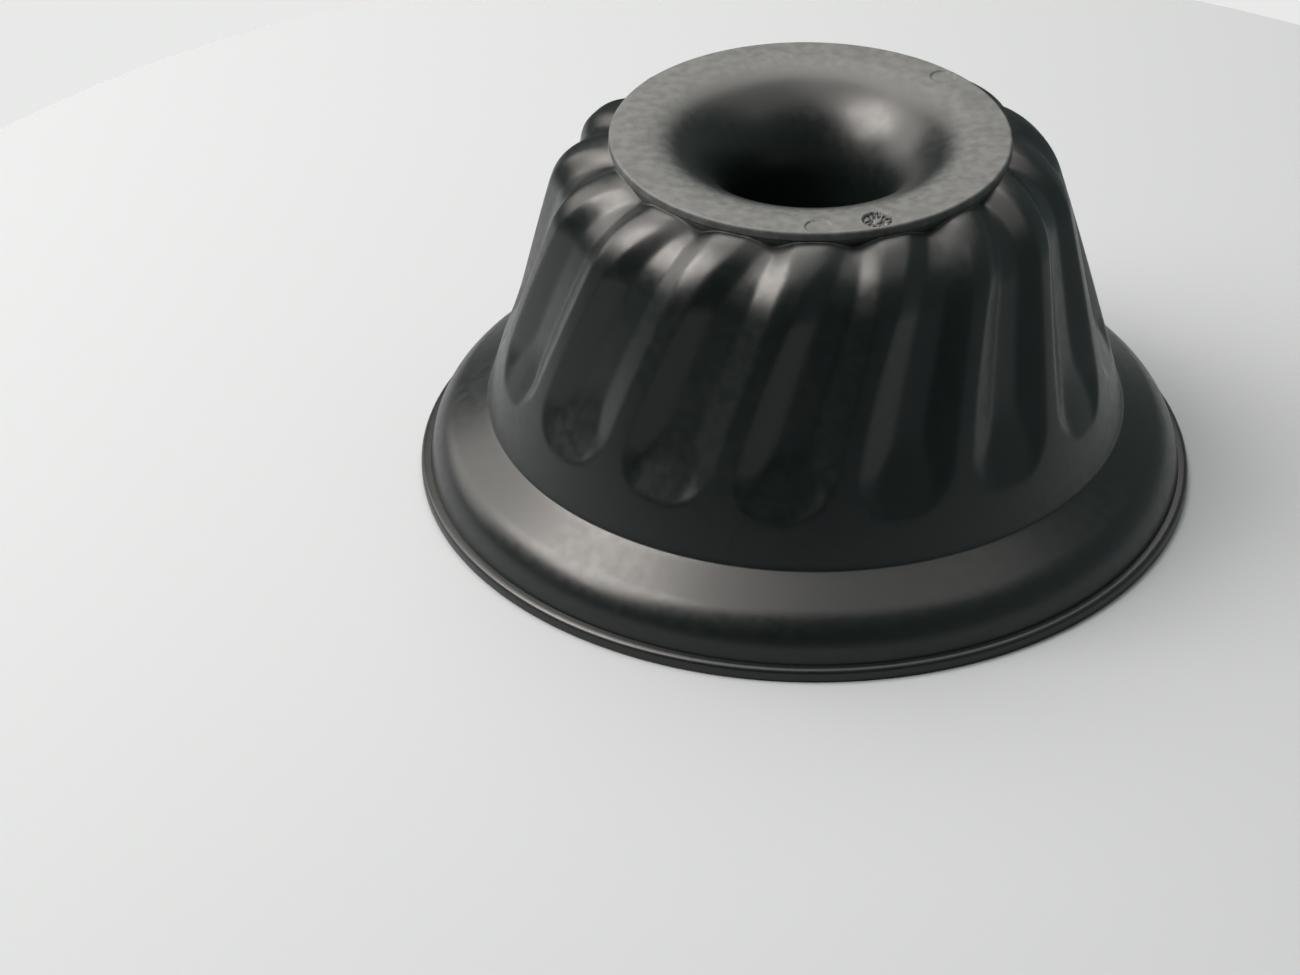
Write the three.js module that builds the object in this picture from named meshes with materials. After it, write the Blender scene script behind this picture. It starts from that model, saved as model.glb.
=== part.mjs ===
// A kugelhopf mould: a ring-shaped cake mould with swirled flutes, standing upside down on its rim.
// Millimetres, +Z up. The origin is the centre of the rim, on the surface that the mould stands on.
// The mould is one moulding, divided here into the zones where its form changes.

import * as THREE from 'three';

// Overall sizes
const HEIGHT = 114; // from the rim's underside to the top of the foot ring
const WALL = 2.5; // thickness of the moulding

// Foot ring, the flat ring that the filled mould stands on
const RING_RADIUS = 60;
const RING_WIDTH = 7.4; // from its edge in to where the funnel starts to roll down
const RING_THICKNESS = 2.5;
const RING_EDGE_ROUND = 0.6;
const RING_LEDGE = 0.3; // how far the ring overhangs the crown, and stands clear of its ridges

// Centre tube and the funnel that joins it to the ring
const TUBE_TIP_RADIUS = 17.5;
const TUBE_TIP_HEIGHT = 3;
const TUBE_TIP_ROUND = 1;
const TUBE_DRAFT = 6; // degrees
const FUNNEL_JOINT_DEPTH = 8; // where the tube ends below the top of the ring

// Crown and side wall
const CROWN_FALL = 13; // degrees below level, where the crown leaves the ring
const CROWN_ROUND = 26;
const MOUTH_RADIUS = 98.5; // at the crease where the wall meets the rim flange

// Rim: a sloping flange, a round shoulder, a skirt and a lip
const RIM_HEIGHT = 24; // height of the crease
const RIM_ROOT_ROUND = 1.2;
const RIM_JOINT_RISE = 3; // how far the flange runs up the wall before the fluted wall starts
const FLANGE_FALL = 30; // degrees below level
const SHOULDER_ROUND = 15;
const SKIRT_REACH = 18.5; // from the crease out to the foot of the skirt
const SKIRT_DRAFT = 12; // degrees from upright
const LIP_WIDTH = 3; // beyond the skirt
const LIP_HEIGHT = 4;
const LIP_TOP_ROUND = 1.5;
const LIP_FOOT_ROUND = 0.8;

// Flutes: grooves with sloping sides that swirl up the wall and over the crown, with ridges between them
const FLUTE_COUNT = 16;
const FLUTE_PHASE = -7.9; // degrees, azimuth of one flute at the crease
const FLUTE_TWIST = 17.9; // degrees turned between the crease and the foot ring
const FLUTE_SWEEP = 1.7; // power by which the turn gathers towards the crown
const RIDGE_WIDTH = 5.3; // halfway up, where a ridge is narrowest
const RIDGE_END_WIDTH = 9.8; // at the crease and at the foot ring
const PLAIN_BAND = 13; // smooth wall between the crease and the lower ends of the flutes
const SIDE_SLOPE = 23.7; // degrees
const RAMP_SLOPE = 13.5; // degrees by which a flute's floor runs in from its lower end
const FLOOR_DEPTH = 5.4; // of the floor's line above the lower end
const FLOOR_DEPTH_AT_RING = 2.6;
const RAMP_BLEND = 1.8; // how gently the ramp turns into the floor
const FOOT_BLEND = 0.5; // how gently the sides meet the floor
const EDGE_BLEND = 0.4; // how gently they meet the ridges
const EDGE_WIDTH = 1; // of the rounded edge, on each side of it

// Fineness of the facets
const ROUND_STEPS = 72;
const TUBE_STEPS = 48;
const ARC_STEPS = 3;
const EDGE_STEPS = 2; // on the small roundings of edges
const END_STEPS = 4; // rows around a flute's lower end
const END_FLAT = 0.35; // share of a flute's width that its lower end is cut straight
const FLOOR_LEAST = 0.25; // share of a flute's width that its floor takes at least
const FLOOR_MOST = 0.7; // and at most
const WALL_STEPS = 4; // rows above the lower end
const CROWN_STEPS = 6; // rows on the crown
const FUNNEL_STEPS = 2; // rows on each side of the funnel in the crown

const rad = THREE.MathUtils.degToRad;
const { lerp, clamp } = THREE.MathUtils;
const ringUnderside = HEIGHT - RING_THICKNESS;
const crownUnderside = ringUnderside - WALL;
const funnelMouth = RING_RADIUS - RING_WIDTH;
const skirtFootRadius = MOUTH_RADIUS + SKIRT_REACH;
const rimRadius = skirtFootRadius + LIP_WIDTH;
const rimJoint = RIM_HEIGHT + RIM_JOINT_RISE;
const funnelJoint = HEIGHT - FUNNEL_JOINT_DEPTH;

// Values from one to another in even steps, both ends included.
const spread = (from, to, steps) => Array.from({ length: steps + 1 }, (_, i) => lerp(from, to, i / steps));

// All profiles are drawn in a half plane: x is the radius and y is the height.
const point = (x, y) => new THREE.Vector2(x, y);

// Where the line through a along angle u crosses the line through b along angle v.
function crossing(a, u, b, v) {
  const across = b.clone().sub(a);
  const along = (across.x * Math.sin(v) - across.y * Math.cos(v)) / Math.sin(v - u);
  return point(a.x + along * Math.cos(u), a.y + along * Math.sin(u));
}

// The arc that rounds the corner at b between a and c, as points from one tangent point to the other.
function fillet(a, b, c, round, steps) {
  const before = a.clone().sub(b).normalize();
  const after = c.clone().sub(b).normalize();
  const half = Math.acos(before.dot(after)) / 2;
  const centre = before.clone().add(after).setLength(round / Math.sin(half)).add(b);
  const start = before.multiplyScalar(round / Math.tan(half)).add(b).sub(centre).angle();
  const end = after.multiplyScalar(round / Math.tan(half)).add(b).sub(centre).angle();
  const turn = Math.atan2(Math.sin(end - start), Math.cos(end - start));
  return spread(start, start + turn, steps).map((angle) => {
    return point(centre.x + round * Math.cos(angle), centre.y + round * Math.sin(angle));
  });
}

// A closed outline from its corners, each a point with an optional rounding.
function outline(corners) {
  const points = corners.flatMap(({ at, round, steps = ARC_STEPS }, i) => {
    const before = corners.at(i - 1).at;
    const after = corners[(i + 1) % corners.length].at;
    return round ? fillet(before, at, after, round, steps) : [at];
  });
  return [...points, points[0]];
}

// A closed outline turned about the axis, with +Z up.
function turned(profile, steps) {
  return new THREE.LatheGeometry(profile, steps).rotateX(Math.PI / 2);
}

// The ridges' outline from the crease up to the foot ring: a straight wall, then an arc over the crown.
// The arc leaves the ring at the crown's fall, and the wall runs from the crease to touch it.
// Places on the outline are given by the distance s along it, and tilt is how far its normal points up.
const fall = rad(CROWN_FALL);
const crease = point(MOUTH_RADIUS, RIM_HEIGHT);
const crownTop = point(RING_RADIUS - RING_LEDGE, ringUnderside - RING_LEDGE);
const crownCentre = point(-Math.sin(fall), -Math.cos(fall)).multiplyScalar(CROWN_ROUND).add(crownTop);
const toCentre = crownCentre.clone().sub(crease);
const wallRun = Math.sqrt(toCentre.lengthSq() - CROWN_ROUND ** 2);
const draft = toCentre.angle() - Math.asin(CROWN_ROUND / toCentre.length()) - Math.PI / 2;
const ridgeRun = wallRun + CROWN_ROUND * (Math.PI / 2 - fall - draft);

function ridge(s) {
  if (s < wallRun) {
    return { r: crease.x - s * Math.sin(draft), z: crease.y + s * Math.cos(draft), tilt: draft };
  }
  const tilt = draft + (s - wallRun) / CROWN_ROUND;
  const across = CROWN_ROUND * Math.cos(tilt);
  const up = CROWN_ROUND * Math.sin(tilt);
  return { r: crownCentre.x + across, z: crownCentre.y + up, tilt };
}

// A trumpet: a tapered tube that rolls over into a level plane above it, where it reaches its mouth.
function trumpet(tipRadius, plane, mouthRadius) {
  const taper = rad(TUBE_DRAFT);
  const corner = tipRadius + (plane - TUBE_TIP_HEIGHT) * Math.tan(taper);
  const round = (mouthRadius - corner) / Math.tan((Math.PI / 2 - taper) / 2);
  const centre = point(mouthRadius, plane - round);
  return {
    tangent: centre.y + round * Math.sin(taper),
    at(z) {
      if (z < this.tangent) return tipRadius + (z - TUBE_TIP_HEIGHT) * Math.tan(taper);
      const rise = Math.min(round, z - centre.y);
      return centre.x - Math.sqrt(round ** 2 - rise ** 2);
    },
  };
}

const tubeInside = trumpet(TUBE_TIP_RADIUS, HEIGHT, funnelMouth);
const tubeOutsideTip = TUBE_TIP_RADIUS + WALL / Math.cos(rad(TUBE_DRAFT));
const tubeOutside = trumpet(tubeOutsideTip, crownUnderside, funnelMouth - WALL);

// Points on a trumpet at evenly spread heights.
function trumpetPoints(surface, from, to, steps) {
  return spread(from, to, steps).map((z) => point(surface.at(z), z));
}

function footRing() {
  const roll = trumpetPoints(tubeInside, HEIGHT, ringUnderside, ARC_STEPS);
  const edge = [
    { at: point(RING_RADIUS, ringUnderside) },
    { at: point(RING_RADIUS, HEIGHT), round: RING_EDGE_ROUND, steps: EDGE_STEPS },
  ];
  return turned(outline([...edge, ...roll.map((at) => ({ at }))]), ROUND_STEPS);
}

function centreTube() {
  const inside = trumpetPoints(tubeInside, funnelJoint, tubeInside.tangent, ARC_STEPS);
  const outside = trumpetPoints(tubeOutside, tubeOutside.tangent, funnelJoint, ARC_STEPS);
  const corners = [
    ...inside.map((at) => ({ at })),
    { at: point(TUBE_TIP_RADIUS, TUBE_TIP_HEIGHT), round: TUBE_TIP_ROUND, steps: EDGE_STEPS },
    { at: point(tubeOutsideTip, TUBE_TIP_HEIGHT), round: TUBE_TIP_ROUND, steps: EDGE_STEPS },
    ...outside.map((at) => ({ at })),
  ];
  return turned(outline(corners), TUBE_STEPS);
}

function rimFlange() {
  const wallUp = Math.PI / 2 + draft;
  const skirtUp = Math.PI / 2 + rad(SKIRT_DRAFT);
  const flangeOut = -rad(FLANGE_FALL);
  const joint = point(0, rimJoint);
  const foot = point(skirtFootRadius, LIP_HEIGHT);
  const wallInside = point(MOUTH_RADIUS - WALL / Math.cos(draft), RIM_HEIGHT);
  const flangeInside = point(MOUTH_RADIUS, RIM_HEIGHT - WALL / Math.cos(rad(FLANGE_FALL)));
  const footInside = point(skirtFootRadius - WALL / Math.cos(rad(SKIRT_DRAFT)), LIP_HEIGHT);
  return turned(
    outline([
      { at: foot },
      { at: crossing(foot, skirtUp, crease, flangeOut), round: SHOULDER_ROUND },
      { at: crease, round: RIM_ROOT_ROUND },
      { at: crossing(crease, wallUp, joint, 0) },
      { at: crossing(wallInside, wallUp, joint, 0) },
      { at: crossing(wallInside, wallUp, flangeInside, flangeOut), round: RIM_ROOT_ROUND + WALL },
      { at: crossing(footInside, skirtUp, flangeInside, flangeOut), round: SHOULDER_ROUND - WALL },
      { at: footInside },
    ]),
    ROUND_STEPS,
  );
}

function rimLip() {
  const inner = skirtFootRadius - WALL / Math.cos(rad(SKIRT_DRAFT));
  return turned(
    outline([
      { at: point(inner, 0) },
      { at: point(rimRadius, 0), round: LIP_FOOT_ROUND, steps: EDGE_STEPS },
      { at: point(rimRadius, LIP_HEIGHT), round: LIP_TOP_ROUND, steps: EDGE_STEPS },
      { at: point(inner, LIP_HEIGHT) },
    ]),
    ROUND_STEPS,
  );
}

// A flute's half width leaves a ridge beside it that widens as a parabola towards both ends.
function halfWidth(s) {
  const ridgeWidth = lerp(RIDGE_WIDTH, RIDGE_END_WIDTH, ((2 * s) / ridgeRun - 1) ** 2);
  return (Math.PI * ridge(s).r) / FLUTE_COUNT - ridgeWidth / 2;
}

const endRound = halfWidth(PLAIN_BAND);
const endCentre = PLAIN_BAND + endRound;

// How far s lies below the centre of the half round that closes a flute.
const belowCentre = (s) => Math.max(0, endCentre - s);

// The lesser of two heights, with their crossing rounded by a hyperbola.
const smoothMin = (a, b, blend) => (a + b - Math.hypot(a - b, blend)) / 2;

// Depth of a flute's floor: a ramp in from the lower end, held by a line that rises towards the ring.
function floorDepth(s) {
  const along = s - PLAIN_BAND;
  const line = lerp(FLOOR_DEPTH, FLOOR_DEPTH_AT_RING, along / (ridgeRun - PLAIN_BAND));
  return smoothMin(along * Math.tan(rad(RAMP_SLOPE)), line, RAMP_BLEND);
}

// Depth at a distance u to the side of a flute's middle: sloping sides, cut off by the floor.
function fluteDepth(s, u) {
  const inward = halfWidth(s) - Math.hypot(u, belowCentre(s));
  const hollow = smoothMin(floorDepth(s), inward * Math.tan(rad(SIDE_SLOPE)), FOOT_BLEND);
  return -smoothMin(-hollow, 0, EDGE_BLEND);
}

// Half the width of a flute at s inside a margin from its sides, round its lower end too.
function halfInside(s, margin) {
  const squared = (halfWidth(s) - margin) ** 2 - belowCentre(s) ** 2;
  return Math.sqrt(Math.max(0, squared));
}

// The columns of points around the mould at s, each by its offset u from a flute's middle and its azimuth.
// They follow both sides of a flute's rounded edges and the feet of its sloping sides.
function columns(s) {
  const pitch = (2 * Math.PI) / FLUTE_COUNT;
  const turn = rad(FLUTE_PHASE) + rad(FLUTE_TWIST) * (s / ridgeRun) ** FLUTE_SWEEP;
  const { r } = ridge(s);
  const edge = Math.max(halfInside(s, 0), END_FLAT * halfWidth(s));
  const sideRun = floorDepth(s) / Math.tan(rad(SIDE_SLOPE));
  const foot = clamp(halfInside(s, sideRun), FLOOR_LEAST * edge, FLOOR_MOST * edge);
  const right = [foot, edge - EDGE_WIDTH, edge + EDGE_WIDTH];
  const offsets = [...right.map((u) => -u).reverse(), ...right];
  return Array.from({ length: FLUTE_COUNT }, (_, k) => k).flatMap((k) =>
    offsets.map((u) => ({ u, azimuth: turn + k * pitch + u / r })),
  );
}

const around = (r, z, azimuth) => new THREE.Vector3(r * Math.cos(azimuth), r * Math.sin(azimuth), z);

// A ring of points on the fluted skin, or at a thickness behind it, sunk square to the ridges' outline.
function skin(s, thickness) {
  const { r, z, tilt } = ridge(s);
  return columns(s).map(({ u, azimuth }) => {
    const sunk = fluteDepth(s, u) + thickness;
    return around(r - sunk * Math.cos(tilt), z - sunk * Math.sin(tilt), azimuth);
  });
}

// A plain round ring of points, in line with the columns at s.
const plain = (r, z, s) => columns(s).map(({ azimuth }) => around(r, z, azimuth));

// A closed solid from rings of points that follow each other round its section.
function ringSolid(rings) {
  const count = rings[0].length;
  const geometry = new THREE.BufferGeometry().setFromPoints(rings.flat());
  const faces = rings.flatMap((_, i) => {
    const here = i * count;
    const there = ((i + 1) % rings.length) * count;
    return Array.from({ length: count }, (_, j) => {
      const next = (j + 1) % count;
      return [here + j, here + next, there + next, here + j, there + next, there + j];
    }).flat();
  });
  geometry.setIndex(faces);
  return geometry;
}

function flutedWall() {
  const jointRun = RIM_JOINT_RISE / Math.cos(draft);
  const jointRadius = ridge(jointRun).r;
  const ends = spread(0, Math.PI / 2, END_STEPS).map((angle) => endCentre - endRound * Math.cos(angle));
  const rows = [...ends, ...spread(endCentre, wallRun, WALL_STEPS).slice(1)];
  const outer = rows.map((s) => skin(s, 0));
  const inner = rows.map((s) => skin(s, WALL)).reverse();
  const jointRadii = [jointRadius - WALL / Math.cos(draft), jointRadius];
  const joint = jointRadii.map((r) => plain(r, rimJoint, jointRun));
  return ringSolid([...outer, ...inner, ...joint]);
}

function crown() {
  const rows = spread(wallRun, ridgeRun, CROWN_STEPS);
  const outer = rows.map((s) => skin(s, 0));
  const inner = rows.map((s) => skin(s, WALL)).reverse();
  const air = trumpetPoints(tubeInside, ringUnderside, funnelJoint, FUNNEL_STEPS);
  const dough = trumpetPoints(tubeOutside, funnelJoint, crownUnderside, FUNNEL_STEPS);
  const hidden = [
    point(crownTop.x, ringUnderside),
    ...air,
    ...dough,
    point(crownTop.x - WALL, crownUnderside),
  ].map(({ x, y }) => plain(x, y, ridgeRun));
  return ringSolid([...outer, ...hidden, ...inner]);
}

// Black glass-filled plastic: the ring is the dullest zone and the walls have a soft shine.
const plastic = (roughness) => new THREE.MeshStandardMaterial({ color: 0x17181a, roughness, metalness: 0 });

const mould = new THREE.Group();

function add(name, geometry, roughness) {
  const mesh = new THREE.Mesh(geometry, plastic(roughness));
  mesh.name = name;
  mould.add(mesh);
}

add('foot_ring', footRing(), 0.6);
add('crown', crown(), 0.4);
add('fluted_wall', flutedWall(), 0.4);
add('centre_tube', centreTube(), 0.45);
add('rim_flange', rimFlange(), 0.45);
add('rim_lip', rimLip(), 0.45);

export default mould;
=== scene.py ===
"""Looks of a black moulded kugelhopf mould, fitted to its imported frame.

Sizes are millimetres, as on a drawing, and meshes are written in metres. Z is the mould's axis, and the
origin is the centre of the rim, on the surface that the mould stands on upside down.
Every piece is a grid of points: its rows follow a closed section, and its columns run round the axis.
"""

import logging
import math
from dataclasses import dataclass
from enum import Enum

import bpy
import numpy as np
from mathutils import Matrix, Vector

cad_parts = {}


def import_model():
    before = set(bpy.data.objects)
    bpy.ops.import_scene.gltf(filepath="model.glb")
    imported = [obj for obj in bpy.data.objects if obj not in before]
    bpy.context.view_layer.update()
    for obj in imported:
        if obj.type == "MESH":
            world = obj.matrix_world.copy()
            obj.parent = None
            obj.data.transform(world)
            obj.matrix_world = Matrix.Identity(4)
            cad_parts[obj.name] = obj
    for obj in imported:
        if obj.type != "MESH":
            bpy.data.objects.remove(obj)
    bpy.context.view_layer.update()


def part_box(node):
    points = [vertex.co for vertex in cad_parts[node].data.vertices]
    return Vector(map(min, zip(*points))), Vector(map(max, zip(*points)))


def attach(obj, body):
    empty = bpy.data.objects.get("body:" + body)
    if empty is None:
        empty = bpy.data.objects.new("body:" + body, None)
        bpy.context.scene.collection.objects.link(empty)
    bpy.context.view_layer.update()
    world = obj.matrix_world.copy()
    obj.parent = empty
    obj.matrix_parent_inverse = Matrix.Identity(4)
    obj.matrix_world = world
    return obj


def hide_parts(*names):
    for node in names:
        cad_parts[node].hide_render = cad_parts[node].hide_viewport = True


LOG = logging.getLogger("kugelhopf_mould")
MM = 0.001
BODY = "root"
TURN = 2 * math.pi
ROUND_COLUMNS = 384
ARC_SPACING = 0.4  # between points on a rounding
RUN_SPACING = 2.0  # between points on a straight run
SEAM_STEP = 0.03  # first step from a joint, so that the shading runs on across it
SHARP_ANGLE = math.radians(55)
LEAST_ARC_STEPS = 4
NOISE_DETAIL = 3.0

Array = np.ndarray


def smooth_min(a: Array, b: Array, blend: Array | float) -> Array:
    """The lesser of two heights, with the crossing rounded by a hyperbola that is blend / 2 lower there.

    Args:
        a: first height.
        b: second height.
        blend: size of the rounding.

    Returns:
        (a + b - sqrt((a - b)^2 + blend^2)) / 2.
    """
    return (a + b - np.sqrt((a - b) ** 2 + blend**2)) / 2


def spread(start: float, end: float, spacing: float) -> Array:
    """Even steps from start to end, with a narrow one at either end.

    Args:
        start: first value.
        end: last value, above the first.
        spacing: about how far apart the values are.

    Returns:
        The values in order.
    """
    steps = max(2, round((end - start) / spacing))
    return np.concatenate([[start], np.linspace(start + SEAM_STEP, end - SEAM_STEP, steps), [end]])


def crossing(a: Array, u: float, b: Array, v: float) -> Array:
    """Where two lines cross.

    Args:
        a: a point of the first line.
        u: the first line's angle.
        b: a point of the second line.
        v: the second line's angle.

    Returns:
        The point a plus its distance to the crossing along u.
    """
    across = b - a
    along = (across[0] * math.sin(v) - across[1] * math.cos(v)) / math.sin(v - u)
    return a + along * np.array([math.cos(u), math.sin(u)])


@dataclass(frozen=True)
class Corner:
    """A corner of a section: radius and height of the point, and the rounding there."""

    at: Array
    round: float = 0.0

    def points(self, before: Array, after: Array) -> Array:
        """The corner itself, or the arc tangent to both sides of it.

        Args:
            before: the corner ahead of this one.
            after: the corner that follows it.

        Returns:
            Points of the section, one row each.
        """
        if not self.round:
            return self.at[None]
        into = (before - self.at) / np.linalg.norm(before - self.at)
        out = (after - self.at) / np.linalg.norm(after - self.at)
        half = math.acos(float(into @ out)) / 2
        middle = (into + out) / np.linalg.norm(into + out)
        centre = self.at + middle * self.round / math.sin(half)
        tangent = self.round / math.tan(half)
        first = self.at + into * tangent - centre
        last = self.at + out * tangent - centre
        start = math.atan2(first[1], first[0])
        turn = math.atan2(first[0] * last[1] - first[1] * last[0], float(first @ last))
        steps = max(LEAST_ARC_STEPS, round(abs(turn) * self.round / ARC_SPACING))
        angle = np.linspace(start, start + turn, steps + 1)
        return centre + self.round * np.stack([np.cos(angle), np.sin(angle)], -1)


def closed_section(corners: list[Corner]) -> Array:
    """A closed section through its corners, with extra points along its straight runs.

    Args:
        corners: corners in order, anticlockwise with the radius to the right.

    Returns:
        Radius and height of each point.
    """
    spots = [c.at for c in corners]
    count = len(corners)
    bends = [c.points(spots[i - 1], spots[(i + 1) % count]) for i, c in enumerate(corners)]
    rows = []
    for i, bend in enumerate(bends):
        end, start = bend[-1], bends[(i + 1) % count][0]
        steps = max(1, math.ceil(np.linalg.norm(start - end) / RUN_SPACING))
        share = np.arange(1, steps)[:, None] / steps
        rows += [bend, end + (start - end) * share]
    return np.concatenate(rows)


def turned(section: Array, columns: int = ROUND_COLUMNS) -> Array:
    """A section carried round the axis: (r cos a, r sin a, z) for every row and every azimuth a.

    Args:
        section: radius and height of each row.
        columns: number of azimuths.

    Returns:
        Grid of points, rows by columns by 3.
    """
    azimuth = np.arange(columns) * TURN / columns
    r, z = section[:, 0, None], section[:, 1, None]
    return np.stack([r * np.cos(azimuth), r * np.sin(azimuth), z + 0 * azimuth], -1)


def shell_object(name: str, grid: Array) -> bpy.types.Object:
    """A mesh object from a grid that closes on itself along its rows and along its columns.

    Args:
        name: the piece's name.
        grid: points in millimetres, rows by columns by 3, in an order that turns the faces outwards.

    Returns:
        The new object, linked to the scene.
    """
    rows, columns = grid.shape[:2]
    index = np.arange(rows * columns).reshape(rows, columns)
    above = np.roll(index, -1, 0)
    quads = np.stack([index, np.roll(index, -1, 1), np.roll(above, -1, 1), above], -1).reshape(-1, 4)
    mesh = bpy.data.meshes.new(name)
    mesh.vertices.add(index.size)
    mesh.vertices.foreach_set("co", (grid * MM).astype(np.float32).ravel())
    mesh.loops.add(quads.size)
    mesh.loops.foreach_set("vertex_index", quads.astype(np.int32).ravel())
    mesh.polygons.add(len(quads))
    mesh.polygons.foreach_set("loop_start", np.arange(0, quads.size, 4, dtype=np.int32))
    mesh.update(calc_edges=True)
    mesh.polygons.foreach_set("use_smooth", np.ones(len(quads), bool))
    mesh.set_sharp_from_angle(angle=SHARP_ANGLE)
    piece = bpy.data.objects.new(name, mesh)
    bpy.context.scene.collection.objects.link(piece)
    return piece


@dataclass(frozen=True)
class Moulding:
    """Sizes that the zones of the moulding share."""

    height: float
    ring_radius: float
    ring_underside: float
    rim_radius: float
    lip_height: float
    rim_joint: float
    funnel_joint: float
    tube_tip_height: float
    tube_tip_radius: float = 17.5
    wall: float = 2.5

    @classmethod
    def from_frame(cls) -> "Moulding":
        """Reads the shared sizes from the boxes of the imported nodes.

        Returns:
            The sizes in millimetres.
        """
        ring_low, ring_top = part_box("foot_ring")
        tube_low, tube_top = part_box("centre_tube")
        _, flange_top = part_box("rim_flange")
        _, lip_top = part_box("rim_lip")
        return cls(
            height=ring_top.z / MM,
            ring_radius=ring_top.x / MM,
            ring_underside=ring_low.z / MM,
            rim_radius=lip_top.x / MM,
            lip_height=lip_top.z / MM,
            rim_joint=flange_top.z / MM,
            funnel_joint=tube_top.z / MM,
            tube_tip_height=tube_low.z / MM,
        )

    @property
    def crown_underside(self) -> float:
        """Height of the inner face under the foot ring."""
        return self.ring_underside - self.wall


@dataclass(frozen=True)
class Trumpet:
    """A tapered tube that rolls over into a level plane above it, where it reaches its mouth.

    A place on it is given by the distance t along it from the tip.
    """

    tip_radius: float
    tip_height: float
    plane: float
    mouth: float
    draft: float = math.radians(4)

    @property
    def round(self) -> float:
        """Radius of the roll, which touches the tube and, at the mouth, the plane."""
        corner = self.tip_radius + (self.plane - self.tip_height) * math.tan(self.draft)
        return (self.mouth - corner) / math.tan((math.pi / 2 - self.draft) / 2)

    @property
    def tangent(self) -> float:
        """Height where the tube ends and the roll starts."""
        return self.plane - self.round * (1 - math.sin(self.draft))

    def run(self, height: float) -> float:
        """Distance from the tip to a height.

        Args:
            height: a height between the tip and the plane.

        Returns:
            The distance t, along the tube alone or along the tube and part of the roll.
        """
        if height < self.tangent:
            return (height - self.tip_height) / math.cos(self.draft)
        tube = (self.tangent - self.tip_height) / math.cos(self.draft)
        rise = min(1.0, 1 - (self.plane - height) / self.round)
        return tube + self.round * (math.asin(rise) - self.draft)

    def between(self, start: float, end: float) -> Array:
        """Points of the surface from one height to another.

        Args:
            start: first height.
            end: last height.

        Returns:
            Radius and height of each point: on the tube, t along its slope from the tip, and on the roll a
            circle, at the angle draft + (t - tube) / round.
        """
        tube = self.run(self.tangent)
        low, high = sorted((self.run(start), self.run(end)))
        straight = spread(low, min(high, tube), RUN_SPACING) if low < tube else np.empty(0)
        bent = spread(max(low, tube), high, ARC_SPACING) if high > tube else np.empty(0)
        t = np.unique(np.concatenate([straight, bent]))
        on_tube, angle = np.minimum(t, tube), self.draft + np.maximum(0, t - tube) / self.round
        lean, rise = math.sin(self.draft), math.cos(self.draft)
        r = self.tip_radius + on_tube * lean + self.round * (rise - np.cos(angle))
        z = self.tip_height + on_tube * rise + self.round * (np.sin(angle) - lean)
        points = np.stack([r, z], -1)
        return points if start < end else points[::-1]


@dataclass(frozen=True)
class Funnel:
    """The centre tube's two faces: the air side, which is seen from above, and the dough side."""

    moulding: Moulding
    ring_width: float = 6.8  # from the foot ring's edge in to where the funnel starts to roll down

    @property
    def mouth(self) -> float:
        """Radius where the funnel starts to roll down."""
        return self.moulding.ring_radius - self.ring_width

    @property
    def air(self) -> Trumpet:
        """Rolls over into the top of the foot ring."""
        m = self.moulding
        return Trumpet(m.tube_tip_radius, m.tube_tip_height, m.height, self.mouth)

    @property
    def dough(self) -> Trumpet:
        """Rolls over into the inner face of the crown.

        Returns:
            The surface one wall behind the air side.
        """
        m = self.moulding
        tip = m.tube_tip_radius + m.wall / math.cos(self.air.draft)
        return Trumpet(tip, m.tube_tip_height, m.crown_underside, self.mouth - m.wall)


@dataclass(frozen=True)
class RidgeLine:
    """Outline of the ridges from the crease to the foot ring: a straight wall, then an arc over the crown.

    The arc leaves the ring at the crown's fall, and the wall runs from the crease to touch it.
    A place on it is given by the distance s along it from the crease.
    """

    moulding: Moulding
    mouth_radius: float = 98.5
    crease_height: float = 24.0
    fall: float = math.radians(13)
    round: float = 26.0
    ledge: float = 0.3

    @property
    def foot(self) -> Array:
        """The crease."""
        return np.array([self.mouth_radius, self.crease_height])

    @property
    def top(self) -> Array:
        """The upper end, just under the foot ring's edge."""
        m = self.moulding
        return np.array([m.ring_radius - self.ledge, m.ring_underside - self.ledge])

    @property
    def to_centre(self) -> Array:
        """From the crease to the arc's centre."""
        return self.top - self.round * np.array([math.sin(self.fall), math.cos(self.fall)]) - self.foot

    @property
    def wall_run(self) -> float:
        """Distance s where the wall touches the arc."""
        return math.sqrt(float(self.to_centre @ self.to_centre) - self.round**2)

    @property
    def draft(self) -> float:
        """Angle of the wall from upright."""
        across, up = self.to_centre
        return math.atan2(up, across) - math.atan2(self.round, self.wall_run) - math.pi / 2

    @property
    def run(self) -> float:
        """Distance s at the upper end."""
        return self.wall_run + self.round * (math.pi / 2 - self.fall - self.draft)

    def at(self, s: Array) -> tuple[Array, Array, Array]:
        """Places on the outline.

        Args:
            s: distances from the crease.

        Returns:
            Radius, height and tilt, which is the angle by which the normal points up: on the wall it stays at
            the draft, and on the arc it grows by the distance over the rounding.
        """
        on_wall = np.minimum(s, self.wall_run)
        tilt = self.draft + (s - on_wall) / self.round
        lean, rise = math.sin(self.draft), math.cos(self.draft)
        r = self.foot[0] - on_wall * lean + self.round * (np.cos(tilt) - rise)
        z = self.foot[1] + on_wall * rise + self.round * (np.sin(tilt) - lean)
        return r, z, tilt


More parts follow.
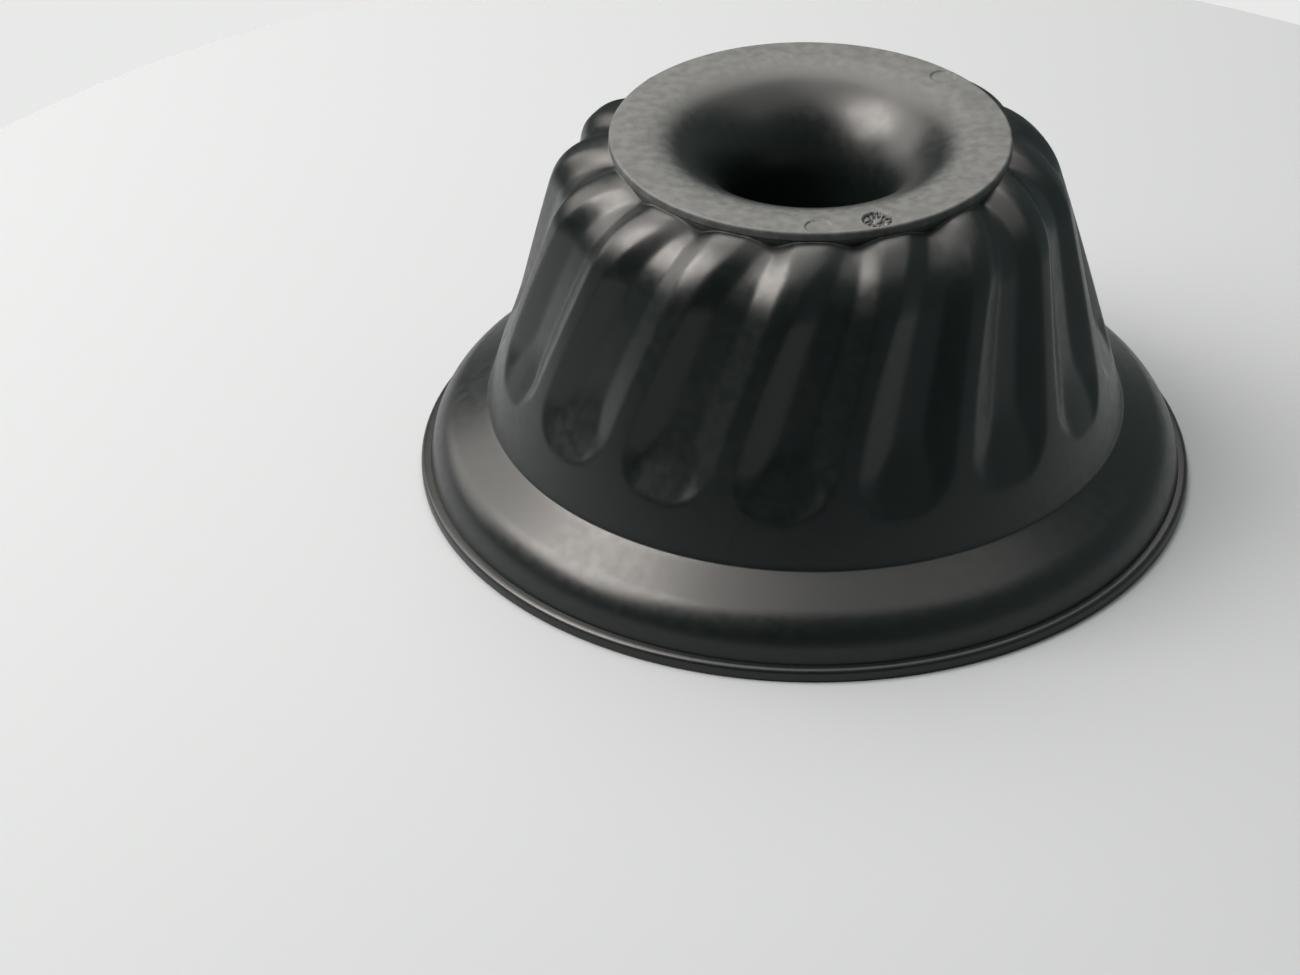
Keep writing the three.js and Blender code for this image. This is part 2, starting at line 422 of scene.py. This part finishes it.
@dataclass(frozen=True)
class Flutes:
    """Grooves that swirl up the wall and over the crown, each run out in a half round below."""

    line: RidgeLine
    count: int = 16
    phase: float = math.radians(-7.9)
    twist: float = math.radians(17.9)
    sweep: float = 1.7
    ridge_width: float = 5.3  # halfway up, where a ridge is narrowest
    ridge_end_width: float = 9.8  # at the crease and at the foot ring
    plain_band: float = 13.0
    side_slope: float = 0.44
    ramp_slope: float = 0.24
    floor_depth: float = 5.4  # where the line of the floor meets the lower end
    floor_depth_at_ring: float = 2.6
    ramp_blend: float = 1.8
    left_foot: float = 0.8
    right_foot: float = 0.3
    edge_on_wall: float = 0.25
    edge_on_crown: float = 0.9
    flute_columns: int = 37
    ridge_columns: int = 9

    def share(self, s: Array) -> Array:
        """Share of the way from the crease to the foot ring."""
        return s / self.line.run

    def half_width(self, s: Array) -> Array:
        """Half of a groove's width.

        Args:
            s: distances along the ridge line.

        Returns:
            Half of what a ridge leaves of the pitch, where the ridge widens as a parabola towards both ends.
        """
        spare = self.ridge_end_width - self.ridge_width
        ridge = self.ridge_width + spare * (2 * self.share(s) - 1) ** 2
        return math.pi * self.line.at(s)[0] / self.count - ridge / 2

    def floor(self, s: Array) -> Array:
        """Depth of the floor.

        Args:
            s: distances along the ridge line.

        Returns:
            The lesser of a ramp in from the lower end and a line that gets shallower towards the ring.
        """
        along = s - self.plain_band
        rise = (self.floor_depth - self.floor_depth_at_ring) / (self.line.run - self.plain_band)
        return smooth_min(self.ramp_slope * along, self.floor_depth - rise * along, self.ramp_blend)

    def depth(self, s: Array, u: Array) -> Array:
        """Depth of the skin below the ridges.

        Args:
            s: distance along the ridge line.
            u: distance to the right of the groove's middle.

        Returns:
            The lesser of the floor's depth and the side slope times the distance in from the groove's edge,
            never under zero, with the crossings rounded.
        """
        half = self.half_width(s)
        end = self.plain_band + self.half_width(np.array(self.plain_band))
        below = np.maximum(0, end - s)
        inward = half - np.hypot(u, below)
        side = np.clip(u / half, -1, 1) / 2 + 0.5
        foot = self.left_foot + (self.right_foot - self.left_foot) * side
        hollow = smooth_min(self.floor(s), self.side_slope * inward, foot)
        crown = np.maximum(0, s - self.line.wall_run) / (self.line.run - self.line.wall_run)
        edge = self.edge_on_wall + (self.edge_on_crown - self.edge_on_wall) * crown
        return -smooth_min(-hollow, np.zeros_like(hollow), edge)

    def columns(self, s: Array) -> tuple[Array, Array]:
        """All columns at each place along the ridge line.

        Args:
            s: distances along the ridge line.

        Returns:
            Offset u from the nearest groove's middle, and azimuth, which is the middle's own, turned by the
            twist times a power of the share, plus u over the radius.
        """
        r = self.line.at(s)[0][:, None]
        half = self.half_width(s)[:, None]
        ridge = TURN * r / self.count - 2 * half
        across = half * np.linspace(-1, 1, self.flute_columns)
        over = half + ridge * np.arange(1, self.ridge_columns + 1) / (self.ridge_columns + 1)
        u = np.concatenate([across, over], 1)
        middle = self.phase + self.twist * self.share(s) ** self.sweep
        pitch = np.arange(self.count) * TURN / self.count
        azimuth = middle[:, None, None] + pitch[:, None] + (u / r)[:, None, :]
        nearest = np.where(u > half + ridge / 2, u - 2 * half - ridge, u)
        return np.tile(nearest, (1, self.count)), azimuth.reshape(len(s), -1)

    def skin(self, s: Array, thickness: float) -> Array:
        """Grid of points on the fluted skin, or at a thickness behind it.

        Args:
            s: distances along the ridge line, one for each row.
            thickness: distance behind the outer skin.

        Returns:
            Points sunk square to the ridge line by the depth and the thickness.
        """
        r, z, tilt = (x[:, None] for x in self.line.at(s))
        u, azimuth = self.columns(s)
        sunk = self.depth(s[:, None], u) + thickness
        radius = r - sunk * np.cos(tilt)
        height = z - sunk * np.sin(tilt)
        return np.stack([radius * np.cos(azimuth), radius * np.sin(azimuth), height], -1)

    def plain(self, section: Array, s: float) -> Array:
        """Round rows in line with the fluted ones.

        Args:
            section: radius and height of each row.
            s: distance along the ridge line whose columns the rows follow.

        Returns:
            Grid of points (r cos a, r sin a, z) at the azimuths a of those columns.
        """
        _, azimuth = self.columns(np.full(len(section), s))
        r, z = section[:, 0, None], section[:, 1, None]
        return np.stack([r * np.cos(azimuth), r * np.sin(azimuth), z + 0 * azimuth], -1)


class Kind(Enum):
    """What a mix node mixes."""

    VALUE = "FLOAT"
    COLOUR = "RGBA"


class Join(Enum):
    """How a math node joins two values."""

    PRODUCT = "MULTIPLY"
    GREATER = "MAXIMUM"


class Scale(Enum):
    """Noise scales in features per metre."""

    CLOUD = 40.0
    GLOSS = 300.0
    GRAIN = 3000.0


@dataclass(frozen=True)
class Finish:
    """How one face of the moulding came out of its tool."""

    dark: tuple[float, float, float]
    pale: tuple[float, float, float]
    roughness: tuple[float, float]
    relief: float  # share of the grain's full height


@dataclass(frozen=True)
class Plastic:
    """Black glass-filled plastic: polished faces with a soft shine, and a foot ring with a matt grain."""

    polished: Finish = Finish((0.0022, 0.0044, 0.0044), (0.0034, 0.0060, 0.0060), (0.31, 0.37), 0.04)
    matt: Finish = Finish((0.048, 0.052, 0.052), (0.078, 0.083, 0.081), (0.54, 0.62), 1.0)
    grain_height: float = 0.03
    gloss_band: tuple[float, float] = (0.3, 0.7)  # of the noise, where the gloss changes
    matt_from: float = 38.5  # radius in the funnel where the matt grain starts
    matt_full: float = 48.5
    matt_end: tuple[float, float] = (60.02, 60.3)  # radii just past the ring's edge
    matt_heights: tuple[float, float] = (108.0, 111.0)
    dial_edge: tuple[float, float] = (4.0, 4.4)  # radii round the dial, whose floor is polished
    dial_heights: tuple[float, float] = (113.1, 113.5)

    def material(self, dial_centre: Array) -> bpy.types.Material:
        """A node material: cloudy tone, uneven gloss and a fine grain, all on object coordinates.

        Args:
            dial_centre: where the foot ring's dial is, seen from above.

        Returns:
            The new material.
        """
        made = bpy.data.materials.new("moulded_plastic")
        made.use_nodes = True
        tree = made.node_tree
        shader = tree.nodes["Principled BSDF"]
        place = tree.nodes.new("ShaderNodeTexCoord").outputs["Object"]
        share = self.matt_share(tree, place, dial_centre)

        cloud = self.noise(tree, place, Scale.CLOUD)
        uneven = self.ramp(tree, self.noise(tree, place, Scale.GLOSS), *self.gloss_band)
        pairs = ((cloud, self.polished), (uneven, self.matt))
        tones = [self.mix(tree, Kind.COLOUR, noise, (*f.dark, 1), (*f.pale, 1)) for noise, f in pairs]
        tree.links.new(self.mix(tree, Kind.COLOUR, share, *tones), shader.inputs["Base Color"])

        gloss = [self.mix(tree, Kind.VALUE, uneven, *f.roughness) for f in (self.polished, self.matt)]
        tree.links.new(self.mix(tree, Kind.VALUE, share, *gloss), shader.inputs["Roughness"])

        bump = tree.nodes.new("ShaderNodeBump")
        bump.inputs["Distance"].default_value = self.grain_height * MM
        relief = self.mix(tree, Kind.VALUE, share, self.polished.relief, self.matt.relief)
        tree.links.new(relief, bump.inputs["Strength"])
        tree.links.new(self.noise(tree, place, Scale.GRAIN), bump.inputs["Height"])
        tree.links.new(bump.outputs["Normal"], shader.inputs["Normal"])
        return made

    def matt_share(
        self, tree: bpy.types.NodeTree, place: bpy.types.NodeSocket, dial_centre: Array
    ) -> bpy.types.NodeSocket:
        """Share of the matt finish: full on the ring, fading down the funnel, none outside the ring's edge.

        Args:
            tree: the material's nodes.
            place: socket of the object coordinates.
            dial_centre: where the dial is.

        Returns:
            Socket of the product of a rise and a fall by the radius, a rise by the height, and the greater
            of two rises at the dial: by the distance from its centre and by the height above its floor.
        """
        apart = tree.nodes.new("ShaderNodeSeparateXYZ")
        tree.links.new(place, apart.inputs["Vector"])
        level = tree.nodes.new("ShaderNodeCombineXYZ")
        tree.links.new(apart.outputs["X"], level.inputs["X"])
        tree.links.new(apart.outputs["Y"], level.inputs["Y"])
        radius = tree.nodes.new("ShaderNodeVectorMath")
        radius.operation = "LENGTH"
        tree.links.new(level.outputs["Vector"], radius.inputs[0])
        away = tree.nodes.new("ShaderNodeVectorMath")
        away.operation = "DISTANCE"
        tree.links.new(level.outputs["Vector"], away.inputs[0])
        away.inputs[1].default_value = (*(dial_centre * MM), 0)
        limits = (
            (radius.outputs["Value"], self.matt_from, self.matt_full),
            (radius.outputs["Value"], self.matt_end[1], self.matt_end[0]),
            (apart.outputs["Z"], *self.matt_heights),
            (away.outputs["Value"], *self.dial_edge),
            (apart.outputs["Z"], *self.dial_heights),
        )
        shares = [self.ramp(tree, socket, low * MM, high * MM) for socket, low, high in limits]
        *ring, beyond_dial, above_dial = shares
        product = self.joined(tree, Join.GREATER, beyond_dial, above_dial)
        for share in ring:
            product = self.joined(tree, Join.PRODUCT, product, share)
        return product

    @staticmethod
    def joined(tree: bpy.types.NodeTree, how: Join, *values: bpy.types.NodeSocket) -> bpy.types.NodeSocket:
        """Two values joined into one.

        Args:
            tree: the material's nodes.
            how: which way of joining.
            values: sockets of the two values.

        Returns:
            The result's socket.
        """
        node = tree.nodes.new("ShaderNodeMath")
        node.operation = how.value
        for value, socket in zip(values, node.inputs):
            tree.links.new(value, socket)
        return node.outputs["Value"]

    @staticmethod
    def ramp(
        tree: bpy.types.NodeTree, value: bpy.types.NodeSocket, low: float, high: float
    ) -> bpy.types.NodeSocket:
        """A smooth rise from 0 where the value is low to 1 where it is high.

        Args:
            tree: the material's nodes.
            value: socket of the value.
            low: value at 0.
            high: value at 1, which may be the lesser.

        Returns:
            The rise's socket.
        """
        node = tree.nodes.new("ShaderNodeMapRange")
        node.interpolation_type = "SMOOTHSTEP"
        node.inputs["From Min"].default_value = low
        node.inputs["From Max"].default_value = high
        tree.links.new(value, node.inputs["Value"])
        return node.outputs["Result"]

    @staticmethod
    def mix(
        tree: bpy.types.NodeTree, kind: Kind, share: bpy.types.NodeSocket, *ends: object
    ) -> bpy.types.NodeSocket:
        """A mix of two values or sockets.

        Args:
            tree: the material's nodes.
            kind: what is mixed.
            share: socket of the second one's share.
            ends: the two of them.

        Returns:
            The mix's socket.
        """
        node = tree.nodes.new("ShaderNodeMix")
        node.data_type = kind.value
        sockets = [s for s in node.inputs if s.enabled]
        tree.links.new(share, sockets[0])
        for socket, end in zip(sockets[1:], ends):
            if isinstance(end, bpy.types.NodeSocket):
                tree.links.new(end, socket)
            else:
                socket.default_value = end
        return next(s for s in node.outputs if s.enabled)

    @staticmethod
    def noise(tree: bpy.types.NodeTree, place: bpy.types.NodeSocket, scale: Scale) -> bpy.types.NodeSocket:
        """A noise texture's value on the given coordinates.

        Args:
            tree: the material's nodes.
            place: socket of the coordinates.
            scale: which of the noises.

        Returns:
            The noise's output socket.
        """
        node = tree.nodes.new("ShaderNodeTexNoise")
        node.inputs["Scale"].default_value = scale.value
        node.inputs["Detail"].default_value = NOISE_DETAIL
        tree.links.new(place, node.inputs["Vector"])
        return node.outputs["Fac"]


class Zone:
    """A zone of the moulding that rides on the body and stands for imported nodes."""

    def place(self, name: str, grid: Array, material: bpy.types.Material, *nodes: str) -> bpy.types.Object:
        """Makes a piece from its grid and ties it to the frame.

        Args:
            name: the piece's name.
            grid: its points in millimetres.
            material: its finish.
            nodes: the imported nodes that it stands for.

        Returns:
            The piece.
        """
        piece = shell_object(name, grid)
        piece.data.materials.append(material)
        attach(piece, BODY)
        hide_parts(*nodes)
        LOG.info("%s: %d faces", name, len(piece.data.polygons))
        return piece


@dataclass
class FlutedBody(Zone):
    """The side wall and the crown, with the flutes running over both."""

    moulding: Moulding
    line: RidgeLine
    flutes: Flutes
    funnel: Funnel
    row_spacing: float = 0.7
    inner_spacing: float = 2.2
    joint_band: float = 1.0  # plain rows above the joint to the rim

    def wall_grid(self) -> Array:
        """Points of the side wall.

        Returns:
            Outer skin upwards, inner skin downwards, and a flat joint to the rim below.
        """
        m = self.moulding
        joint = (m.rim_joint - self.line.crease_height) / math.cos(self.line.draft)
        radius = float(self.line.at(np.array([joint]))[0][0])
        top = self.line.wall_run
        thickness = m.wall / math.cos(self.line.draft)
        ends = [[radius - thickness, m.rim_joint], [radius, m.rim_joint]]
        start = joint + self.joint_band
        outer = self.flutes.skin(spread(start, top, self.row_spacing), 0)
        inner = self.flutes.skin(spread(start, top, self.inner_spacing)[::-1], m.wall)
        return np.concatenate([outer, inner, self.flutes.plain(np.array(ends), joint)])

    def crown_grid(self) -> Array:
        """Points of the crown.

        Returns:
            Outer skin up to the foot ring, the joint below it, the funnel's roll, and the inner skin.
        """
        m = self.moulding
        start, top = self.line.wall_run, self.line.run
        outer = self.flutes.skin(spread(start, top, self.row_spacing), 0)
        inner = self.flutes.skin(spread(start, top, self.inner_spacing)[::-1], m.wall)
        riser = np.array([[self.line.top[0], m.ring_underside]])
        air = self.funnel.air.between(m.ring_underside, m.funnel_joint)
        dough = self.funnel.dough.between(m.funnel_joint, m.crown_underside)
        under = np.array([[self.line.top[0] - m.wall, m.crown_underside]])
        hidden = self.flutes.plain(np.concatenate([riser, air, dough, under]), top)
        return np.concatenate([outer, hidden, inner])

    def build(self, material: bpy.types.Material) -> None:
        """Makes both pieces."""
        self.place("fluted_wall_skin", self.wall_grid(), material, "fluted_wall")
        self.place("crown_skin", self.crown_grid(), material, "crown")


@dataclass
class FootRing(Zone):
    """The flat ring on top, with the marks that its tool left."""

    moulding: Moulding
    funnel: Funnel
    edge_round: float = 0.8
    columns: int = 1440
    row_spacing: float = 0.25
    pin_radius: float = 3.8
    pin_depth: float = 0.5
    pin_places: tuple[tuple[float, float], ...] = ((55.9, -90.0), (55.3, 40.6))
    dial_place: tuple[float, float] = (54.9, -72.0)
    dial_radius: float = 4.3
    dial_depth: float = 1.0
    dial_ticks: int = 12
    tick_edge: float = 2.0  # how steeply a tick rises from the dial's floor
    tick_reach: tuple[float, float] = (0.55, 0.86)  # shares of the dial's radius
    hub_reach: float = 0.28
    raised: float = 0.6  # share of the dial's depth by which the hub and the ticks stand up
    step: float = 0.25  # width of the slope at the marks' edges

    @staticmethod
    def spot(place: tuple[float, float]) -> Array:
        """A place given by radius and azimuth in degrees, as X and Y."""
        angle = math.radians(place[1])
        return place[0] * np.array([math.cos(angle), math.sin(angle)])

    def reach(self, grid: Array, place: tuple[float, float], radius: float) -> tuple[Array, Array]:
        """How far inside a round mark each point lies, from 0 outside to 1, and its place from the centre.

        Args:
            grid: points of the ring's top.
            place: radius and azimuth in degrees of the mark's centre.
            radius: the mark's radius.

        Returns:
            Share of the depth, and offsets from the mark's centre.
        """
        offset = grid[..., :2] - self.spot(place)
        inside = radius - np.hypot(offset[..., 0], offset[..., 1])
        return np.clip(inside / self.step + 0.5, 0, 1), offset

    def marks(self, grid: Array) -> Array:
        """Depth of the marks: two ejector discs, and a sunk dial with even ticks round a hub.

        Args:
            grid: points of the ring's top.

        Returns:
            Sum of each disc's share times its depth, less the hub and the ticks, which are the crests of a
            cosine round the dial.
        """
        sunk = np.zeros(grid.shape[:2])
        for place in self.pin_places:
            sunk += self.pin_depth * self.reach(grid, place, self.pin_radius)[0]
        dish, offset = self.reach(grid, self.dial_place, self.dial_radius)
        discs = (share * self.dial_radius for share in (self.hub_reach, *self.tick_reach))
        hub, near, far = (self.reach(grid, self.dial_place, disc)[0] for disc in discs)
        wave = np.cos(self.dial_ticks * np.arctan2(offset[..., 1], offset[..., 0]))
        ticks = np.clip(wave * self.tick_edge, 0, 1) * (far - near)
        return sunk + self.dial_depth * (dish - self.raised * (hub + ticks))

    def grid(self) -> Array:
        """Points of the ring.

        Returns:
            The edge upwards, the top with its marks, the roll into the funnel, and the flat underside.
        """
        m = self.moulding
        mouth = self.funnel.mouth
        roll = self.funnel.air.between(m.height, m.ring_underside)
        edge = Corner(np.array([m.ring_radius, m.height]), self.edge_round)
        bend = edge.points(np.array([m.ring_radius, 0]), np.array([0, m.height]))
        count = round((bend[-1, 0] - mouth) / self.row_spacing)
        across = np.linspace(bend[-1, 0], mouth, count)[1:-1]
        top = np.stack([across, np.full(len(across), m.height)], -1)
        middle = (m.ring_underside + m.height) / 2
        side = np.array([[m.ring_radius, m.ring_underside], [m.ring_radius, middle]])
        grid = turned(np.concatenate([side, bend, top, roll]), self.columns)
        upper = slice(len(side) + len(bend), None)
        grid[upper, :, 2] -= self.marks(grid[upper])
        return grid

    def build(self, material: bpy.types.Material) -> None:
        """Makes the piece."""
        self.place("foot_ring_skin", self.grid(), material, "foot_ring")


@dataclass
class CentreTube(Zone):
    """The tapered chimney."""

    moulding: Moulding
    funnel: Funnel
    tip_round: float = 1.0
    tip_band: float = 4.0  # height above the tip where the straight faces start

    def grid(self) -> Array:
        """Points of the tube.

        Returns:
            The dough side upwards, then the air side downwards, closed by a rounded tip.
        """
        m = self.moulding
        air, dough = self.funnel.air, self.funnel.dough
        clear = m.tube_tip_height + self.tip_band
        outside = dough.between(clear, m.funnel_joint)
        inside = air.between(m.funnel_joint, clear)
        tip = [
            Corner(np.array([air.tip_radius, m.tube_tip_height]), self.tip_round),
            Corner(np.array([dough.tip_radius, m.tube_tip_height]), self.tip_round),
        ]
        bends = [tip[0].points(inside[-1], tip[1].at), tip[1].points(tip[0].at, outside[0])]
        return turned(np.concatenate([outside, inside, *bends]))

    def build(self, material: bpy.types.Material) -> None:
        """Makes the piece."""
        self.place("centre_tube_skin", self.grid(), material, "centre_tube")


@dataclass
class Rim(Zone):
    """The sloping flange, the round shoulder, the skirt and the lip."""

    moulding: Moulding
    line: RidgeLine
    root_round: float = 1.2
    flange_fall: float = math.radians(30)
    shoulder_round: float = 15.0
    skirt_draft: float = math.radians(12)
    lip_width: float = 3.0
    lip_top_round: float = 1.5
    lip_foot_round: float = 0.8

    @property
    def skirt_foot(self) -> float:
        """Radius where the skirt meets the lip."""
        return self.moulding.rim_radius - self.lip_width

    @property
    def skirt_foot_inside(self) -> float:
        """The same on the inner face."""
        return self.skirt_foot - self.moulding.wall / math.cos(self.skirt_draft)

    def flange_grid(self) -> Array:
        """Points of the flange and the skirt.

        Returns:
            Skirt, shoulder, flange and crease upwards to the joint with the wall, and back one wall behind.
        """
        m, wall = self.moulding, self.moulding.wall
        wall_up = math.pi / 2 + self.line.draft
        skirt_up = math.pi / 2 + self.skirt_draft
        out = -self.flange_fall
        joint = np.array([0, m.rim_joint])
        crease = self.line.foot
        foot = np.array([self.skirt_foot, m.lip_height])
        foot_inside = np.array([self.skirt_foot_inside, m.lip_height])
        wall_inside = crease - [wall / math.cos(self.line.draft), 0]
        flange_inside = crease - [0, wall / math.cos(self.flange_fall)]
        corners = [
            Corner(foot),
            Corner(crossing(foot, skirt_up, crease, out), self.shoulder_round),
            Corner(crease, self.root_round),
            Corner(crossing(crease, wall_up, joint, 0)),
            Corner(crossing(wall_inside, wall_up, joint, 0)),
            Corner(crossing(wall_inside, wall_up, flange_inside, out), self.root_round + wall),
            Corner(crossing(foot_inside, skirt_up, flange_inside, out), self.shoulder_round - wall),
            Corner(foot_inside),
        ]
        return turned(closed_section(corners))

    def lip_grid(self) -> Array:
        """Points of the lip.

        Returns:
            A flat ring with rounded outer edges.
        """
        m = self.moulding
        corners = [
            Corner(np.array([self.skirt_foot_inside, 0])),
            Corner(np.array([m.rim_radius, 0]), self.lip_foot_round),
            Corner(np.array([m.rim_radius, m.lip_height]), self.lip_top_round),
            Corner(np.array([self.skirt_foot_inside, m.lip_height])),
        ]
        return turned(closed_section(corners))

    def build(self, material: bpy.types.Material) -> None:
        """Makes both pieces."""
        self.place("rim_flange_skin", self.flange_grid(), material, "rim_flange")
        self.place("rim_lip_skin", self.lip_grid(), material, "rim_lip")


@dataclass(frozen=True)
class Softbox:
    """A rectangular studio light that faces the object."""

    name: str
    azimuth: float
    elevation: float
    width: float
    height: float
    radiance: float
    distance: float = 1.6
    color: tuple[float, float, float] = (1.0, 0.935, 0.885)
    target: tuple[float, float, float] = (0.0, 0.0, 0.06)

    def build(self) -> None:
        """Places the light at its azimuth and elevation, in degrees, and turns it to its target."""
        lamp = bpy.data.lights.new(self.name, "AREA")
        lamp.shape = "RECTANGLE"
        lamp.size, lamp.size_y = self.width, self.height
        lamp.energy = 4 * self.width * self.height * self.radiance
        lamp.color = self.color
        a, e = math.radians(self.azimuth), math.radians(self.elevation)
        away = Vector((math.cos(e) * math.cos(a), math.cos(e) * math.sin(a), math.sin(e)))
        light = bpy.data.objects.new(self.name, lamp)
        light.location = Vector(self.target) + away * self.distance
        light.rotation_euler = away.to_track_quat("Z", "Y").to_euler()
        bpy.context.scene.collection.objects.link(light)


@dataclass(frozen=True)
class Studio:
    """The floor, the lights and the camera."""

    floor_radius: float = 0.36
    floor_corners: int = 96
    floor_tone: tuple[float, float, float] = (0.298, 0.32, 0.335)
    floor_roughness: float = 0.9
    backdrop: tuple[float, float, float] = (0.81, 0.82, 0.81)
    air_tone: tuple[float, float, float] = (0.80, 1.0, 0.98)
    air_strength: tuple[float, float] = (0.05, 0.30)  # from the left and from the right
    image_width: float = 1300.0
    focal_pixels: float = 3546.7
    elevation: float = math.radians(33.88)
    roll: float = math.radians(-0.368)
    distance: float = 1.1176
    aside: tuple[float, float] = (0.048248, 0.010798)
    softboxes: tuple[Softbox, ...] = (
        Softbox("key_box", azimuth=185, elevation=48, width=1.05, height=1.0, radiance=9.6),
        Softbox("wing_box", azimuth=148, elevation=34, width=1.0, height=1.6, radiance=2.6),
        Softbox("top_box", azimuth=165, elevation=78, width=1.6, height=0.8, radiance=1.9),
        Softbox("back_box", azimuth=92, elevation=54, width=1.2, height=0.9, radiance=3.6),
        Softbox("right_box", azimuth=15, elevation=72, width=1.6, height=1.2, radiance=1.0),
    )

    def floor(self) -> None:
        """A level round table top in a pale tone."""
        angle = np.arange(self.floor_corners) * TURN / self.floor_corners
        edge = self.floor_radius * np.stack([np.cos(angle), np.sin(angle), 0 * angle], -1)
        mesh = bpy.data.meshes.new("floor")
        mesh.from_pydata(edge.tolist(), [], [list(range(self.floor_corners))])
        made = bpy.data.materials.new("pale_floor")
        made.use_nodes = True
        shader = made.node_tree.nodes["Principled BSDF"]
        shader.inputs["Base Color"].default_value = (*self.floor_tone, 1)
        shader.inputs["Roughness"].default_value = self.floor_roughness
        mesh.materials.append(made)
        ground = bpy.data.objects.new("floor", mesh)
        bpy.context.scene.collection.objects.link(ground)

    def air(self) -> None:
        """A dim light from all round, stronger on the right, with a pale tone to be seen past the floor."""
        world = bpy.data.worlds.new("studio_air")
        world.use_nodes = True
        tree = world.node_tree
        back = tree.nodes["Background"]
        back.inputs["Color"].default_value = (*self.air_tone, 1)
        apart = tree.nodes.new("ShaderNodeSeparateXYZ")
        tree.links.new(tree.nodes.new("ShaderNodeTexCoord").outputs["Generated"], apart.inputs["Vector"])
        side = tree.nodes.new("ShaderNodeMapRange")
        side.inputs["To Min"].default_value, side.inputs["To Max"].default_value = self.air_strength
        tree.links.new(apart.outputs["X"], side.inputs["Value"])
        tree.links.new(side.outputs["Result"], back.inputs["Strength"])
        beyond = tree.nodes.new("ShaderNodeBackground")
        beyond.inputs["Color"].default_value = (*self.backdrop, 1)
        seen = tree.nodes.new("ShaderNodeMixShader")
        tree.links.new(tree.nodes.new("ShaderNodeLightPath").outputs["Is Camera Ray"], seen.inputs["Fac"])
        tree.links.new(back.outputs["Background"], seen.inputs[1])
        tree.links.new(beyond.outputs["Background"], seen.inputs[2])
        tree.links.new(seen.outputs["Shader"], tree.nodes["World Output"].inputs["Surface"])
        bpy.context.scene.world = world

    def camera(self) -> None:
        """The photograph's view: the origin lies aside from the lens axis, at its distance along it."""
        right = Vector((1, 0, 0))
        up = Vector((0, math.sin(self.elevation), math.cos(self.elevation)))
        back = Vector((0, -math.cos(self.elevation), math.sin(self.elevation)))
        across = math.cos(self.roll) * right + math.sin(self.roll) * up
        along = -math.sin(self.roll) * right + math.cos(self.roll) * up
        lens = bpy.data.cameras.new("camera")
        lens.lens = self.focal_pixels * lens.sensor_width / self.image_width
        camera = bpy.data.objects.new("camera", lens)
        place = back * self.distance - across * self.aside[0] - along * self.aside[1]
        turn = Matrix((across, along, back)).transposed().to_4x4()
        camera.matrix_world = Matrix.Translation(place) @ turn
        bpy.context.scene.collection.objects.link(camera)
        bpy.context.scene.camera = camera

    def build(self) -> None:
        """Makes the whole studio."""
        self.floor()
        self.air()
        self.camera()
        for box in self.softboxes:
            box.build()
        bpy.context.scene.view_settings.view_transform = "Standard"


def main() -> None:
    """Builds the mould round the frame, then the studio."""
    logging.basicConfig(level=logging.INFO, format="%(name)s %(message)s")
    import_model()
    moulding = Moulding.from_frame()
    line = RidgeLine(moulding)
    funnel = Funnel(moulding)
    ring = FootRing(moulding, funnel)
    plastic = Plastic().material(ring.spot(ring.dial_place))
    FlutedBody(moulding, line, Flutes(line), funnel).build(plastic)
    ring.build(plastic)
    CentreTube(moulding, funnel).build(plastic)
    Rim(moulding, line).build(plastic)
    Studio().build()


if __name__ == "__main__":
    main()
